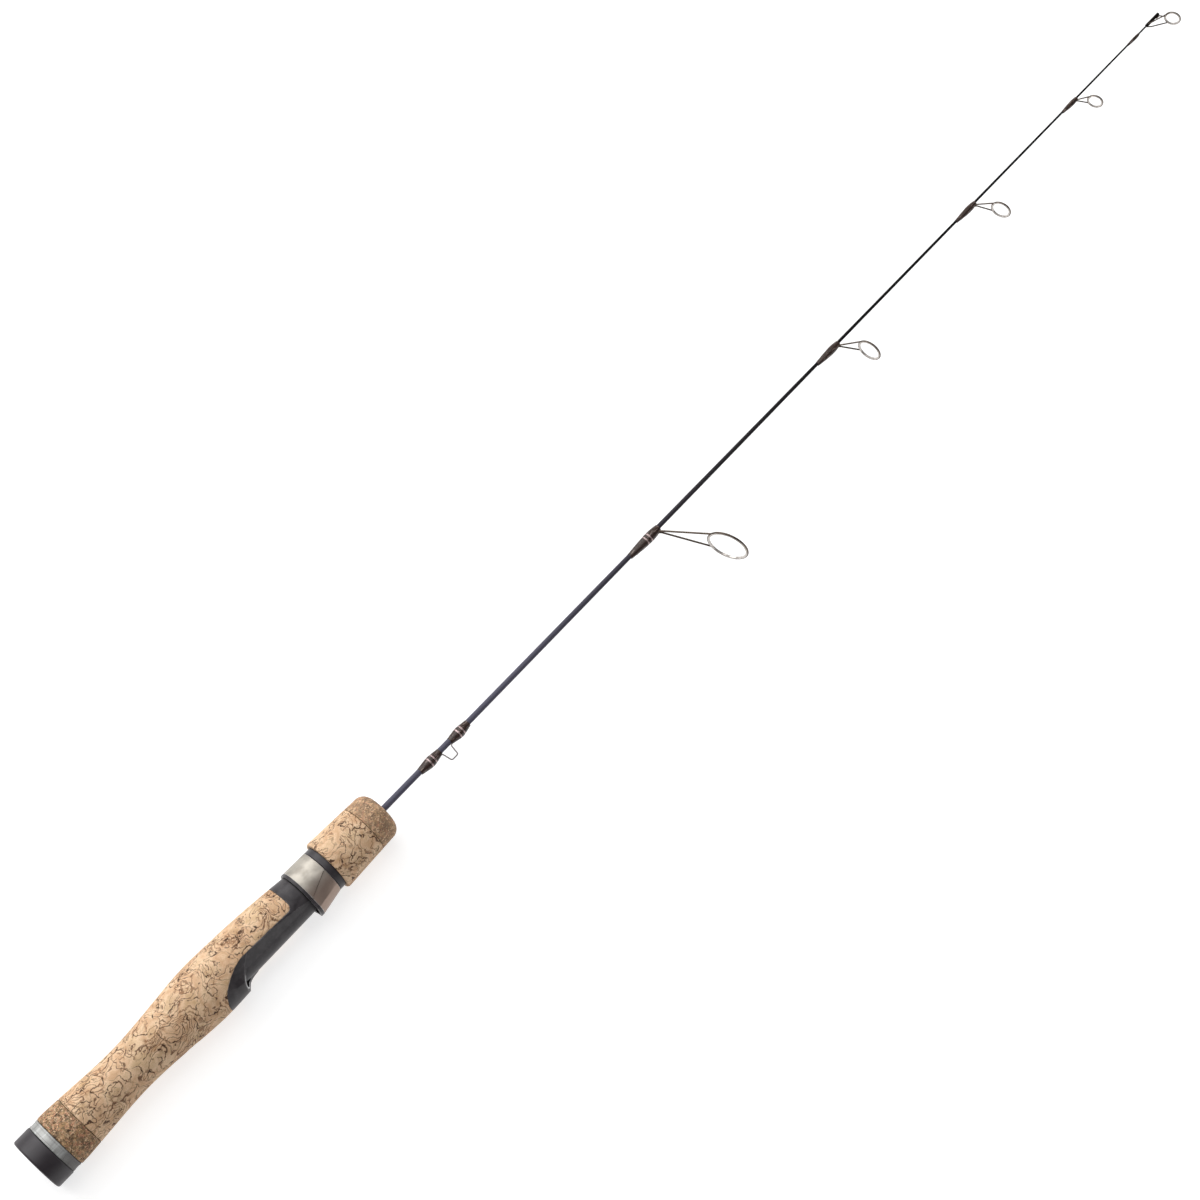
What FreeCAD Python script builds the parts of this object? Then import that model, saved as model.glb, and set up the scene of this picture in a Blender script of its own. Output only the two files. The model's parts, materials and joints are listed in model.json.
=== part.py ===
import FreeCAD, Part
import math
import os

# Ice fishing rod, 30 in class, lying on its side.
# X runs along the blank from the butt face (origin) to the tip. The reel and the line guides are on
# the -Y side, and +Z points up from the surface that the rod lies on. Millimetres.

V = FreeCAD.Vector
AXIS = V(1, 0, 0)

# ---- driving dimensions -------------------------------------------------------------------------
GLUE = 0.04                  # bond line between glued pieces, radial
RUN = 0.10                   # running clearance, radial
FACE_GAP = 0.10              # axial gap between faces that move on each other

CAP_END = 7.9                # the butt cap's shoulder
CAP_R = 12.25
CAP_PLUG_R = 6.0
CAP_PLUG_END = 19.0
RING_END = 12.0              # the aluminium trim ring's front face
RING_R = 12.05
REAR_RING_END = 22.6         # the rubberised-cork ring's front face

# The handle's outline behind the moving hood, as (x, radius).
GRIP_OUTLINE = [
    (REAR_RING_END, 11.8), (35.0, 10.9), (50.0, 10.35), (62.0, 10.95), (76.0, 12.25), (89.0, 13.2),
    (102.0, 12.95), (118.0, 12.1), (130.0, 11.1), (136.0, 10.5),
]
CORK_END = 136.0             # the rear grip's front face
COLLAR_END = 143.0           # the seat's collar ends here, and the moving hood starts
COLLAR_R = 9.7

TONGUE_DROP = 5.6            # how far below the axis the cork comes down along the seat
TONGUE_CORNER = 2.6          # rounding of the cork's lower front corner
SWEEP_START = 109.5          # where the cork's lower edge starts to sweep down to the belly
SWEEP_END = (91.3, 13.6)     # (x, drop) where it leaves the outline

SEAT_REAR = 70.0             # hidden rear end of the seat's spigot
SPIGOT_R = 7.4
BARREL_R = 9.2               # round platform that the reel foot sits on
BARREL_START = 88.0
SHOULDER = 146.0             # the platform ends and the threaded barrel starts
THREAD_R = 7.9
THREAD_PITCH = 2.0
THREAD_DEPTH = 0.7
THREAD_START = 149.0
THREAD_END = 184.0
BARREL_END = 186.0
SEAT_BORE_R = 5.0
FLANK_OUT = (11.2, 5.6)      # (half width, drop) where the seat's flank meets the cork
FLANK_IN = (4.6, 7.97)       # where the flank meets the round platform
KEEL_START = 89.0            # the fixed hood's keel grows out of the outline from here
KEEL_FULL = 107.0            # and has its full shape here
KEEL_TOP = (5.3, 9.0)        # (half width, drop) where the keel leaves the flank
KEEL_FOOT = (3.9, 12.9)      # and where it meets the outline
SCOOP_TOP = (10.4, 10.4)     # the same two points where the keel starts, both outside the outline
SCOOP_FOOT = (5.8, 14.5)
SCOOP_REACH = 16.0
LIP_BOTTOM = (101.0, 13.5)   # (x, drop) of the fixed hood's mouth at the belly
LIP_TURN = (103.3, 10.7)     # its straight part ends here
LIP_MIDDLE = (106.9, 7.6)
LIP_TOP = (114.0, 5.0)       # and it runs out into the flank here
POCKET_TOP = 4.5             # half width of the reel foot's pocket where it starts, and how far
POCKET_SINK = 1.2            # that is inside the platform
POCKET_SIDE = (3.4, 11.3)    # (half width, drop) of the pocket's corner
POCKET_DROP = 12.2
POCKET_REAR = 96.5
INSERT_WALL = 0.4
KEYWAY_HALF = 1.2
KEYWAY_DEPTH = 1.0

HOOD_REAR = COLLAR_END + FACE_GAP
HOOD_LIP = 1.4               # the liner's dark rim, axial
HOOD_FRONT = 155.9
HOOD_R = 10.8
HOOD_FRONT_R = 10.6
SHELL_WALL = 0.8
CREASE_REAR = 49.0           # degrees from the side to the crease, at the rear and the front
CREASE_FRONT = 22.0
CREASE_STEP = 0.3            # how far the round back stands proud of the flat sides
KEEL_CORNER = (4.3, 11.8)    # (half width, drop) of the keel's corner at the rear
KEEL_DROP = 12.9
KEEL_FRONT_ANGLE = 68.0
SIDE_FRONT_R = 10.15         # the sides' radius at the middle of their front edge
LINER_BORE_START = 147.5
SPIGOT_POCKET = 151.6        # the liner's front pocket, which takes the nut's spigot
NUT_SPIGOT_R = 8.9
CLIP_GROOVE = (152.4, 153.3)
CLIP_GROOVE_R = 8.5
CLIP_R = 9.2
CLIP_GAP_HALF = 1.5
FOOT_HALF = 5.2              # half width of the reel foot's pocket in the moving hood
FOOT_REAR = (10.8, 11.9)     # drop of the pocket's side and of its roof, at the rear and the front
FOOT_FRONT = (9.1, 9.3)
FOOT_SINK = 0.6              # how far the pocket starts inside the platform's radius
FOOT_TAPER = 1.2             # how much narrower it is at its roof

FLANGE_END = 159.2
FLANGE_R = 10.5
SLEEVE_R = 9.3
SLEEVE_END = 176.0
FORE_CORK_R = 12.3
FORE_JOINT = (180.4, 11.45)  # burl cork to rubberised cork
FORE_FRONT = 191.3
FORE_FRONT_R = 11.2
FORE_ROUND = 4.6
FORE_BORE_R = 8.3
FORE_BORE_END = 187.5
BUSHING_R = 2.9
BUSHING_END = 191.8
BUSHING_BORE_R = 1.52

# The blank's taper, as (x, radius).
BLANK_TAPER = [(10.0, 1.7), (336.0, 1.22), (516.0, 0.74), (762.0, 0.42)]

KEEPER_WIRE_R = 0.3
KEEPER_LEGS = (226.3, 231.7)       # where the loop's two legs leave the blank
KEEPER_BOTTOM = (226.95, 230.65)   # the loop's two lower corners
KEEPER_DROP = 6.9                  # lowest point of the loop's centre line
KEEPER_FEET = (216.5, 242.0)
KEEPER_BEND = 0.9
KEEPER_WRAPS = {
    "keeper_rear": (214.3, 226.4, 2.85, (219.6, 221.9)),
    "keeper_front": (232.6, 243.8, 2.85, (237.1, 239.3)),
}
# A wrap's outline, as (share of its length, share of its rise).
SPINDLE = [(0.0, 0.0), (0.22, 0.5), (0.5, 1.0), (0.78, 0.55), (1.0, 0.05)]
BLUNT_SPINDLE = [(0.0, 0.0), (0.3, 0.62), (0.58, 1.0), (0.82, 0.92), (1.0, 0.3)]
BAND_WIDTH = 0.65
BAND_DEPTH = 0.25

# name, wrap start, wrap end, wrap radius, ring x, ring drop, ring radius, lean, wire radius
GUIDES = [
    ("guide_1", 349.4, 368.6, 2.7, 381.0, 30.2, 9.9, 17.5, 0.42),
    ("guide_2", 483.0, 498.5, 2.15, 504.3, 14.1, 6.1, 6.0, 0.36),
    ("guide_3", 591.0, 606.0, 1.9, 610.2, 12.6, 5.15, 12.5, 0.33),
    ("guide_4", 679.6, 691.5, 1.55, 695.4, 8.6, 4.15, 17.5, 0.30),
]
GUIDE_1_BANDS = (359.4, 361.6)
LEG_SPREAD = 34.0                  # degrees round the ring from its blank side to each leg
INSERT_DEPTH = 0.42                # radial depth of a ring insert inside its hoop
INSERT_LIP = 0.16                  # how far an insert stands proud of its hoop, each side

TIP_TUBE = (753.6, 764.0)
TIP_TUBE_R = 0.85
TIP_RING = (766.0, 7.4)            # (x, drop) of the ring's centre
TIP_RING_R = 4.25
TIP_LEAN = 20.0
TIP_WIRE_R = 0.3
TIP_BRACE_SPREAD = 62.0
TIP_WRAP = (736.8, 746.2, 0.95)


# ---- helpers ------------------------------------------------------------------------------------
def turned(outline):
    """A solid turned about the X axis from a closed outline of (x, radius) points."""
    corners = [V(x, radius, 0) for x, radius in outline]
    return Part.Face(Part.makePolygon(corners + corners[:1])).revolve(V(0, 0, 0), AXIS, 360)


def turned_wire(edges):
    """A solid turned about the X axis from the edges of a closed outline."""
    return Part.Face(Part.Wire(edges)).revolve(V(0, 0, 0), AXIS, 360)


def rod(start, end, radius):
    """A round bar about the X axis."""
    return Part.makeCylinder(radius, end - start, V(start, 0, 0), AXIS)


def sleeve(start, end, outer, inner):
    """A round tube about the X axis."""
    return rod(start, end, outer).cut(rod(start - 1, end + 1, inner))


def block(x_range, y_range, z_half):
    """A box that is symmetric about the XY plane."""
    length = x_range[1] - x_range[0]
    height = y_range[1] - y_range[0]
    return Part.makeBox(length, height, 2 * z_half, V(x_range[0], y_range[0], -z_half))


def prism_z(edges, half):
    """A closed outline in the XY plane, extruded to both sides of it."""
    face = Part.Face(Part.Wire(edges))
    face.translate(V(0, 0, -half))
    return face.extrude(V(0, 0, 2 * half))


def line(a, b):
    return Part.LineSegment(a, b).toShape()


def arc(a, middle, b):
    return Part.Arc(a, middle, b).toShape()


def spline(points):
    curve = Part.BSplineCurve()
    curve.interpolate(points)
    return curve.toShape()


def blank_radius(x):
    """The blank's radius at x, from its taper."""
    for (x0, r0), (x1, r1) in zip(BLANK_TAPER, BLANK_TAPER[1:]):
        if x <= x1:
            return r0 + (r1 - r0) * (x - x0) / (x1 - x0)
    return BLANK_TAPER[-1][1]


def bent_wire(points, radius, bend):
    """A round wire along straight runs, joined by tangent arcs of the bend radius."""
    edges = []
    start = points[0]
    for before, corner, after in zip(points, points[1:], points[2:]):
        back = (before - corner).normalize()
        ahead = (after - corner).normalize()
        half_turn = (math.pi - back.getAngle(ahead)) / 2
        setback = bend * math.tan(half_turn)
        tangent_in = corner + back * setback
        tangent_out = corner + ahead * setback
        inward = (back + ahead).normalize()
        top = corner + inward * (bend / math.cos(half_turn) - bend)
        edges.append(line(start, tangent_in))
        edges.append(arc(tangent_in, top, tangent_out))
        start = tangent_out
    edges.append(line(start, points[-1]))
    path = Part.Wire(edges)
    heading = points[1] - points[0]
    section = Part.Wire(Part.Circle(points[0], heading, radius).toShape())
    return path.makePipeShell([section], True, False)


def one_solid(shape):
    """The shape's single solid, or the shape itself when it holds several."""
    shape = shape.removeSplitter()
    return shape.Solids[0] if len(shape.Solids) == 1 else shape


def save(name, shape):
    shape = one_solid(shape)
    shape.exportStep("parts/" + name + ".step")
    print(name, len(shape.Solids), "solids", round(shape.Volume, 2), "mm3", shape.isValid())


# ---- the blank ----------------------------------------------------------------------------------
def blank(extra=0.0):
    """The solid tapered blank, made larger all round by extra."""
    outline = [(x, radius + extra) for x, radius in BLANK_TAPER]
    return turned([(BLANK_TAPER[0][0], 0)] + outline + [(BLANK_TAPER[-1][0], 0)])


# ---- butt ---------------------------------------------------------------------------------------
def butt_cap():
    """A moulded cap with rounded rims and a plug that goes into the cork."""
    rim = 0.9
    shoulder = 0.3
    corner = rim * (1 - math.sqrt(0.5))
    edges = [
        line(V(0, 0, 0), V(0, CAP_R - rim, 0)),
        arc(V(0, CAP_R - rim, 0), V(corner, CAP_R - corner, 0), V(rim, CAP_R, 0)),
        line(V(rim, CAP_R, 0), V(CAP_END - shoulder, CAP_R, 0)),
        line(V(CAP_END - shoulder, CAP_R, 0), V(CAP_END, CAP_R - shoulder, 0)),
        line(V(CAP_END, CAP_R - shoulder, 0), V(CAP_END, CAP_PLUG_R, 0)),
        line(V(CAP_END, CAP_PLUG_R, 0), V(CAP_PLUG_END, CAP_PLUG_R, 0)),
        line(V(CAP_PLUG_END, CAP_PLUG_R, 0), V(CAP_PLUG_END, 0, 0)),
        line(V(CAP_PLUG_END, 0, 0), V(0, 0, 0)),
    ]
    return turned_wire(edges).cut(blank(GLUE))


def butt_ring():
    """The aluminium trim ring, slightly waisted between two bevelled rims."""
    bevel = 0.25
    waist = 0.12
    return turned([
        (CAP_END, CAP_PLUG_R + GLUE), (CAP_END, RING_R - bevel), (CAP_END + bevel, RING_R),
        (CAP_END + 0.9, RING_R), (CAP_END + 1.1, RING_R - waist), (RING_END - 1.1, RING_R - waist),
        (RING_END - 0.9, RING_R), (RING_END - bevel, RING_R), (RING_END, RING_R - bevel),
        (RING_END, CAP_PLUG_R + GLUE),
    ])


def rear_cork_ring():
    """Rubberised cork between the trim ring and the grip."""
    end_r = GRIP_OUTLINE[0][1]
    body = turned([
        (RING_END, 0), (RING_END, CAP_R - 0.2), (RING_END + 0.3, CAP_R), (15.5, CAP_R),
        (REAR_RING_END, end_r), (REAR_RING_END, 0),
    ])
    return body.cut(rod(RING_END - 1, CAP_PLUG_END, CAP_PLUG_R + GLUE)).cut(blank(GLUE))


# ---- handle and reel seat -----------------------------------------------------------------------
def handle_form():
    """The turned outline that the cork and the seat's exposed shell share."""
    start = V(GRIP_OUTLINE[0][0], 0, 0)
    contour = [V(x, radius, 0) for x, radius in GRIP_OUTLINE]
    collar = V(COLLAR_END, COLLAR_R, 0)
    end = V(COLLAR_END, 0, 0)
    edges = [
        line(start, contour[0]), spline(contour), line(contour[-1], collar), line(collar, end),
        line(end, start),
    ]
    return turned_wire(edges)


def cork_side():
    """Everything above the line where the cork meets the seat, seen from the side."""
    far = 20.0
    sweep_run = SWEEP_START - SWEEP_END[0]
    sweep_fall = SWEEP_END[1] - TONGUE_DROP
    sweep_r = (sweep_run ** 2 + sweep_fall ** 2) / (2 * sweep_fall)
    half_angle = math.asin(sweep_run / sweep_r) / 2
    sweep_mid = V(SWEEP_START - sweep_r * math.sin(half_angle),
                  -TONGUE_DROP - sweep_r * (1 - math.cos(half_angle)), 0)
    corner_x = CORK_END - TONGUE_CORNER
    corner_y = -TONGUE_DROP + TONGUE_CORNER
    diagonal = TONGUE_CORNER * math.sqrt(0.5)
    a = V(CORK_END, far, 0)
    b = V(CORK_END, corner_y, 0)
    c = V(corner_x, -TONGUE_DROP, 0)
    d = V(SWEEP_START, -TONGUE_DROP, 0)
    e = V(SWEEP_END[0], -SWEEP_END[1], 0)
    f = V(SWEEP_END[0] - 2, -far, 0)
    g = V(0, -far, 0)
    h = V(0, far, 0)
    edges = [
        line(a, b), arc(b, V(corner_x + diagonal, corner_y - diagonal, 0), c), line(c, d),
        arc(d, sweep_mid, e), line(e, f), line(f, g), line(g, h), line(h, a),
    ]
    return prism_z(edges, far)


def rear_grip(form, side):
    """Burl cork, bored for the blank and the seat, with the seat's shell let into it."""
    body = form.common(side).cut(hood_pocket(POCKET_REAR))
    seat_bore = rod(SEAT_REAR - GLUE, COLLAR_END, SPIGOT_R + GLUE)
    barrel_bore = rod(BARREL_START - GLUE, COLLAR_END, BARREL_R + GLUE)
    return body.cut(seat_bore).cut(barrel_bore).cut(blank(GLUE))


def mouth_side():
    """The space in front of the fixed hood's slanted mouth, seen from the side."""
    slope = (LIP_TURN[0] - LIP_BOTTOM[0]) / (LIP_BOTTOM[1] - LIP_TURN[1])
    high = 3.0
    low = 20.0
    bottom = V(LIP_BOTTOM[0] - (low - LIP_BOTTOM[1]) * slope, -low, 0)
    turn = V(LIP_TURN[0], -LIP_TURN[1], 0)
    middle = V(LIP_MIDDLE[0], -LIP_MIDDLE[1], 0)
    top = V(LIP_TOP[0], -LIP_TOP[1], 0)
    above = V(LIP_TOP[0], -high, 0)
    far_top = V(SHOULDER + 1, -high, 0)
    far_bottom = V(SHOULDER + 1, -low, 0)
    edges = [line(bottom, turn), arc(turn, middle, top), line(top, above), line(above, far_top),
             line(far_top, far_bottom), line(far_bottom, bottom)]
    return prism_z(edges, 20.0)


def below_flanks():
    """The space below the seat's flanks, outside its round platform."""
    reach = 15.0
    fall = (FLANK_IN[1] - FLANK_OUT[1]) / (FLANK_OUT[0] - FLANK_IN[0])
    outer_drop = FLANK_OUT[1] - (reach - FLANK_OUT[0]) * fall
    x = 80.0
    corners = [
        V(x, -outer_drop, reach), V(x, -FLANK_IN[1], FLANK_IN[0]), V(x, -FLANK_IN[1], -FLANK_IN[0]),
        V(x, -outer_drop, -reach), V(x, -20, -reach), V(x, -20, reach),
    ]
    face = Part.Face(Part.makePolygon(corners + corners[:1]))
    return face.extrude(V(SHOULDER + 1 - x, 0, 0)).cut(rod(x - 1, SHOULDER + 2, BARREL_R))


def keel_scoop(side):
    """What is taken off one side of the fixed hood, so that it narrows to a keel at its mouth."""
    shoulder = FLANK_OUT[0] + 0.4      # just outside the flank
    sections = []
    for x, top, foot in ((KEEL_START, SCOOP_TOP, SCOOP_FOOT), (KEEL_FULL, KEEL_TOP, KEEL_FOOT)):
        corners = [
            V(x, -FLANK_OUT[1], side * shoulder), V(x, -top[1], side * top[0]),
            V(x, -foot[1], side * foot[0]), V(x, -SCOOP_REACH, side * foot[0]),
            V(x, -SCOOP_REACH, side * SCOOP_REACH), V(x, -FLANK_OUT[1], side * SCOOP_REACH),
        ]
        sections.append(Part.makePolygon(corners + corners[:1]))
    scoop = Part.makeLoft(sections, True, True)
    ahead = Part.Face(sections[1]).extrude(V(LIP_TOP[0] + 1 - KEEL_FULL, 0, 0))
    return scoop.fuse(ahead)


def pocket_section(x, inset):
    """The reel foot's pocket: straight sides and an arched roof, smaller by inset."""
    top = V(x, -BARREL_R + POCKET_SINK, POCKET_TOP - inset)
    corner = V(x, -POCKET_SIDE[1] + inset / 2, POCKET_SIDE[0] - inset)
    roof = V(x, -POCKET_DROP + inset, 0)
    return Part.Wire([line(top, corner), arc(corner, roof, mirrored(corner)),
                      line(mirrored(corner), mirrored(top)), line(mirrored(top), top)])


def hood_pocket(start, inset=0.0):
    """The fixed hood's pocket for the reel foot, outside the round platform."""
    body = Part.Face(pocket_section(start, inset)).extrude(V(LIP_TOP[0] - start, 0, 0))
    return body.cut(rod(start - 1, LIP_TOP[0] + 1, BARREL_R))


def thread_groove():
    """A right-hand V groove round the seat's barrel."""
    length = THREAD_END - THREAD_START
    helix = Part.makeHelix(THREAD_PITCH, length, THREAD_R)
    outside = THREAD_R + 0.3
    half = THREAD_PITCH * 0.42
    flat = 0.12
    root = THREAD_R - THREAD_DEPTH
    corners = [V(outside, 0, -half), V(outside, 0, half), V(root, 0, flat), V(root, 0, -flat)]
    profile = Part.makePolygon(corners + corners[:1])
    groove = Part.Wire(helix.Edges).makePipeShell([profile], True, True)
    groove.rotate(V(0, 0, 0), V(0, 1, 0), 90)
    groove.translate(V(THREAD_START, 0, 0))
    return groove


def reel_seat(form, side):
    """The moulded seat: spigot, exposed shell with its fixed hood, platform and threaded barrel."""
    shell = form.cut(side).common(rod(SWEEP_END[0] - 4, COLLAR_END, 20.0))
    shell = shell.cut(keel_scoop(1)).cut(keel_scoop(-1))
    shell = shell.cut(below_flanks().common(mouth_side())).cut(hood_pocket(POCKET_REAR))
    chamfer = 0.6
    core = turned([
        (SEAT_REAR, 0), (SEAT_REAR, SPIGOT_R), (BARREL_START, SPIGOT_R), (BARREL_START, BARREL_R),
        (SHOULDER - chamfer, BARREL_R), (SHOULDER, BARREL_R - chamfer), (SHOULDER, THREAD_R),
        (BARREL_END - 1, THREAD_R), (BARREL_END, THREAD_R - 1), (BARREL_END, 0),
    ])
    seat = shell.fuse(core).cut(rod(SEAT_REAR - 1, BARREL_END + 1, SEAT_BORE_R))
    keyway = block((SHOULDER + 0.5, BARREL_END + 1), (THREAD_R - KEYWAY_DEPTH, THREAD_R + 1),
                   KEYWAY_HALF)
    return seat.cut(thread_groove()).cut(keyway)


def fixed_hood_insert():
    """A thin stainless arch that lines the fixed hood's pocket."""
    start = POCKET_REAR + 0.3
    arch = hood_pocket(start, GLUE).cut(hood_pocket(start - 1, GLUE + INSERT_WALL))
    above = block((start - 1, LIP_TOP[0] + 1), (-BARREL_R - GLUE, 0.0), 20.0)
    return arch.cut(above).cut(mouth_side())


def arbor(start, end):
    """A bushing that centres the blank in the seat's bore, with two glue grooves."""
    groove = 0.5
    outer = SEAT_BORE_R - GLUE
    third = (end - start) / 3
    outline = [(start, 0), (start, outer)]
    for place in (start + third, start + 2 * third):
        outline += [(place - 1, outer), (place - 1, outer - groove), (place + 1, outer - groove),
                    (place + 1, outer)]
    outline += [(end, outer), (end, 0)]
    return turned(outline).cut(blank(GLUE))


# ---- moving hood --------------------------------------------------------------------------------
def on_circle(x, radius, angle):
    """A point at an angle from +Z towards the reel side (-Y)."""
    turn = math.radians(angle)
    return V(x, -radius * math.sin(turn), radius * math.cos(turn))


def mirrored(point):
    return V(point.x, point.y, -point.z)


def hood_section(x, radius, crease, corner, drop, side_r=None):
    """One section of the hood: a round back, a step down to two sides, and a round keel.

    The sides are flat, or bulge to side_r at their middle.
    """
    near_crease = on_circle(x, radius, crease)
    near_valley = on_circle(x, radius - CREASE_STEP, crease)
    near_corner = V(x, -corner[1], corner[0])
    bottom = V(x, -drop, 0)
    back = V(x, radius, 0)
    if side_r is None:
        near = line(near_valley, near_corner)
        far = line(mirrored(near_corner), mirrored(near_valley))
    else:
        corner_angle = math.degrees(math.atan2(corner[1], corner[0]))
        middle = on_circle(x, side_r, (crease + corner_angle) / 2)
        near = arc(near_valley, middle, near_corner)
        far = arc(mirrored(near_corner), mirrored(middle), mirrored(near_valley))
    return Part.Wire([
        line(near_crease, near_valley), near, arc(near_corner, bottom, mirrored(near_corner)), far,
        line(mirrored(near_valley), mirrored(near_crease)),
        arc(mirrored(near_crease), back, near_crease),
    ])


def rear_section(x, inset):
    corner_r = math.hypot(KEEL_CORNER[0], KEEL_CORNER[1])
    shrink = 1 - inset / corner_r
    corner = (KEEL_CORNER[0] * shrink, KEEL_CORNER[1] * shrink)
    return hood_section(x, HOOD_R - inset, CREASE_REAR, corner, KEEL_DROP - inset)


def front_section(x, inset):
    radius = HOOD_FRONT_R - inset
    turn = math.radians(KEEL_FRONT_ANGLE)
    corner = (radius * math.cos(turn), radius * math.sin(turn))
    return hood_section(x, radius, CREASE_FRONT, corner, radius, SIDE_FRONT_R - inset)


def hood_form(inset):
    """The hood's outside between its liner's rim and its front, smaller all round by inset."""
    rear = rear_section(HOOD_REAR + HOOD_LIP, inset)
    front = front_section(HOOD_FRONT, inset)
    return Part.makeLoft([rear, front], True, True)


def hood_shell():
    return hood_form(0.0).cut(hood_form(SHELL_WALL))


def foot_pocket():
    """The pocket for the reel foot under the moving hood's keel."""
    floor = BARREL_R - FOOT_SINK
    rear_x = HOOD_REAR - 1
    front_x = SPIGOT_POCKET - 1
    sections = []
    for x, (side_drop, drop) in ((rear_x, FOOT_REAR), (front_x, FOOT_FRONT)):
        a = V(x, -floor, FOOT_HALF)
        b = V(x, -side_drop, FOOT_HALF - FOOT_TAPER)
        roof = arc(b, V(x, -drop, 0), mirrored(b))
        sections.append(Part.Wire([line(a, b), roof, line(mirrored(b), mirrored(a)),
                                   line(mirrored(a), a)]))
    return Part.makeLoft(sections, True, True)


def hood_liner():
    """The plastic liner: rear rim, sliding bore with its key, and the pocket for the nut."""
    rim_face = Part.Face(rear_section(HOOD_REAR, 0.0))
    rim = rim_face.extrude(V(HOOD_LIP, 0, 0))
    body = rim.fuse(hood_form(SHELL_WALL + GLUE))
    counterbore = rod(HOOD_REAR - 1, LINER_BORE_START, BARREL_R + 0.35)
    bore = rod(HOOD_REAR - 1, HOOD_FRONT + 1, THREAD_R + RUN)
    nut_pocket = rod(SPIGOT_POCKET, HOOD_FRONT + 1, NUT_SPIGOT_R + RUN)
    clip_room = rod(CLIP_GROOVE[0] - RUN, CLIP_GROOVE[1] + RUN, CLIP_R + RUN)
    body = body.cut(counterbore).cut(bore).cut(nut_pocket).cut(clip_room).cut(foot_pocket())
    key = block((LINER_BORE_START + 0.2, SPIGOT_POCKET - 0.2),
                (THREAD_R - KEYWAY_DEPTH + 0.15, THREAD_R + 0.6), KEYWAY_HALF - RUN)
    return body.fuse(key)


# ---- foregrip -----------------------------------------------------------------------------------
def lock_nut():
    """The nut in the foregrip: spigot held in the hood, flange, and a sleeve under the cork."""
    chamfer = 0.3
    bore = THREAD_R + RUN
    start = SPIGOT_POCKET + RUN
    face = HOOD_FRONT + FACE_GAP
    return turned([
        (start, bore), (start, NUT_SPIGOT_R - chamfer), (start + chamfer, NUT_SPIGOT_R),
        (CLIP_GROOVE[0], NUT_SPIGOT_R), (CLIP_GROOVE[0], CLIP_GROOVE_R),
        (CLIP_GROOVE[1], CLIP_GROOVE_R), (CLIP_GROOVE[1], NUT_SPIGOT_R), (face, NUT_SPIGOT_R),
        (face, FLANGE_R - chamfer), (face + chamfer, FLANGE_R), (FLANGE_END, FLANGE_R),
        (FLANGE_END, SLEEVE_R), (SLEEVE_END, SLEEVE_R), (SLEEVE_END, bore),
    ])


def nut_retainer():
    """The split ring that snaps into the nut's groove inside the hood."""
    ring = sleeve(CLIP_GROOVE[0] + 0.03, CLIP_GROOVE[1] - 0.03, CLIP_R, CLIP_GROOVE_R + 0.03)
    return ring.cut(block((150.0, 155.0), (0.0, 12.0), CLIP_GAP_HALF))


def foregrip_cork():
    """Burl cork on the nut's sleeve."""
    edge = 0.5
    body = turned([
        (FLANGE_END, 0), (FLANGE_END, FORE_CORK_R - edge), (FLANGE_END + edge, FORE_CORK_R),
        (FORE_JOINT[0], FORE_JOINT[1]), (FORE_JOINT[0], 0),
    ])
    sleeve_bore = rod(FLANGE_END - 1, SLEEVE_END, SLEEVE_R + GLUE)
    return body.cut(sleeve_bore).cut(rod(SLEEVE_END - 1, FORE_JOINT[0] + 1, FORE_BORE_R))


def foregrip_ring():
    """Rubberised cork at the foregrip's front, with a well rounded nose."""
    start = FORE_JOINT[0]
    shoulder = FORE_FRONT - FORE_ROUND
    nose = FORE_ROUND * math.sqrt(0.5)
    edges = [
        line(V(start, 0, 0), V(start, FORE_JOINT[1], 0)),
        line(V(start, FORE_JOINT[1], 0), V(shoulder, FORE_FRONT_R, 0)),
        arc(V(shoulder, FORE_FRONT_R, 0),
            V(shoulder + nose, FORE_FRONT_R - FORE_ROUND + nose, 0),
            V(FORE_FRONT, FORE_FRONT_R - FORE_ROUND, 0)),
        line(V(FORE_FRONT, FORE_FRONT_R - FORE_ROUND, 0), V(FORE_FRONT, 0, 0)),
        line(V(FORE_FRONT, 0, 0), V(start, 0, 0)),
    ]
    body = turned_wire(edges)
    return body.cut(rod(start - 1, FORE_BORE_END, FORE_BORE_R)).cut(
        rod(start - 1, FORE_FRONT + 1, BUSHING_R + GLUE))


def foregrip_bushing():
    """The small bushing at the foregrip's front, which runs on the blank."""
    edge = 0.3
    return turned([
        (FORE_BORE_END, BUSHING_BORE_R), (FORE_BORE_END, BUSHING_R),
        (BUSHING_END - edge, BUSHING_R), (BUSHING_END, BUSHING_R - edge),
        (BUSHING_END, BUSHING_BORE_R),
    ])


# ---- thread wraps and fittings on the blank -----------------------------------------------------
def wrap_form(start, end, radius, inset=0.0, outline=BLUNT_SPINDLE):
    """A wrap's outside: a spindle on the blank, fuller on the side where the fitting's foot lies."""
    length = end - start
    shift = 0.25 * (radius - blank_radius(end))
    solids = []
    for drop, fullness in ((0.0, radius - 2 * shift), (shift, radius - shift)):
        contour = []
        for along, rise in outline:
            x = start + along * length
            base = blank_radius(x) + 0.06
            contour.append(V(x, base + rise * (fullness - base) - inset, 0))
        first = V(start, 0, 0)
        last = V(end, 0, 0)
        edges = [line(first, contour[0]), spline(contour), line(contour[-1], last),
                 line(last, first)]
        body = turned_wire(edges)
        body.translate(V(0, -drop, 0))
        solids.append(body)
    return solids[0].fuse(solids[1])


def bands_on(start, end, radius, places, outline=BLUNT_SPINDLE):
    """Metallic trim thread let into a wrap's surface."""
    core = wrap_form(start, end, radius, BAND_DEPTH, outline)
    skin = wrap_form(start, end, radius, outline=outline).cut(core)
    slabs = [block((place, place + BAND_WIDTH), (-20, 20), 20) for place in places]
    return Part.makeCompound([skin.common(slab) for slab in slabs])


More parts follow.
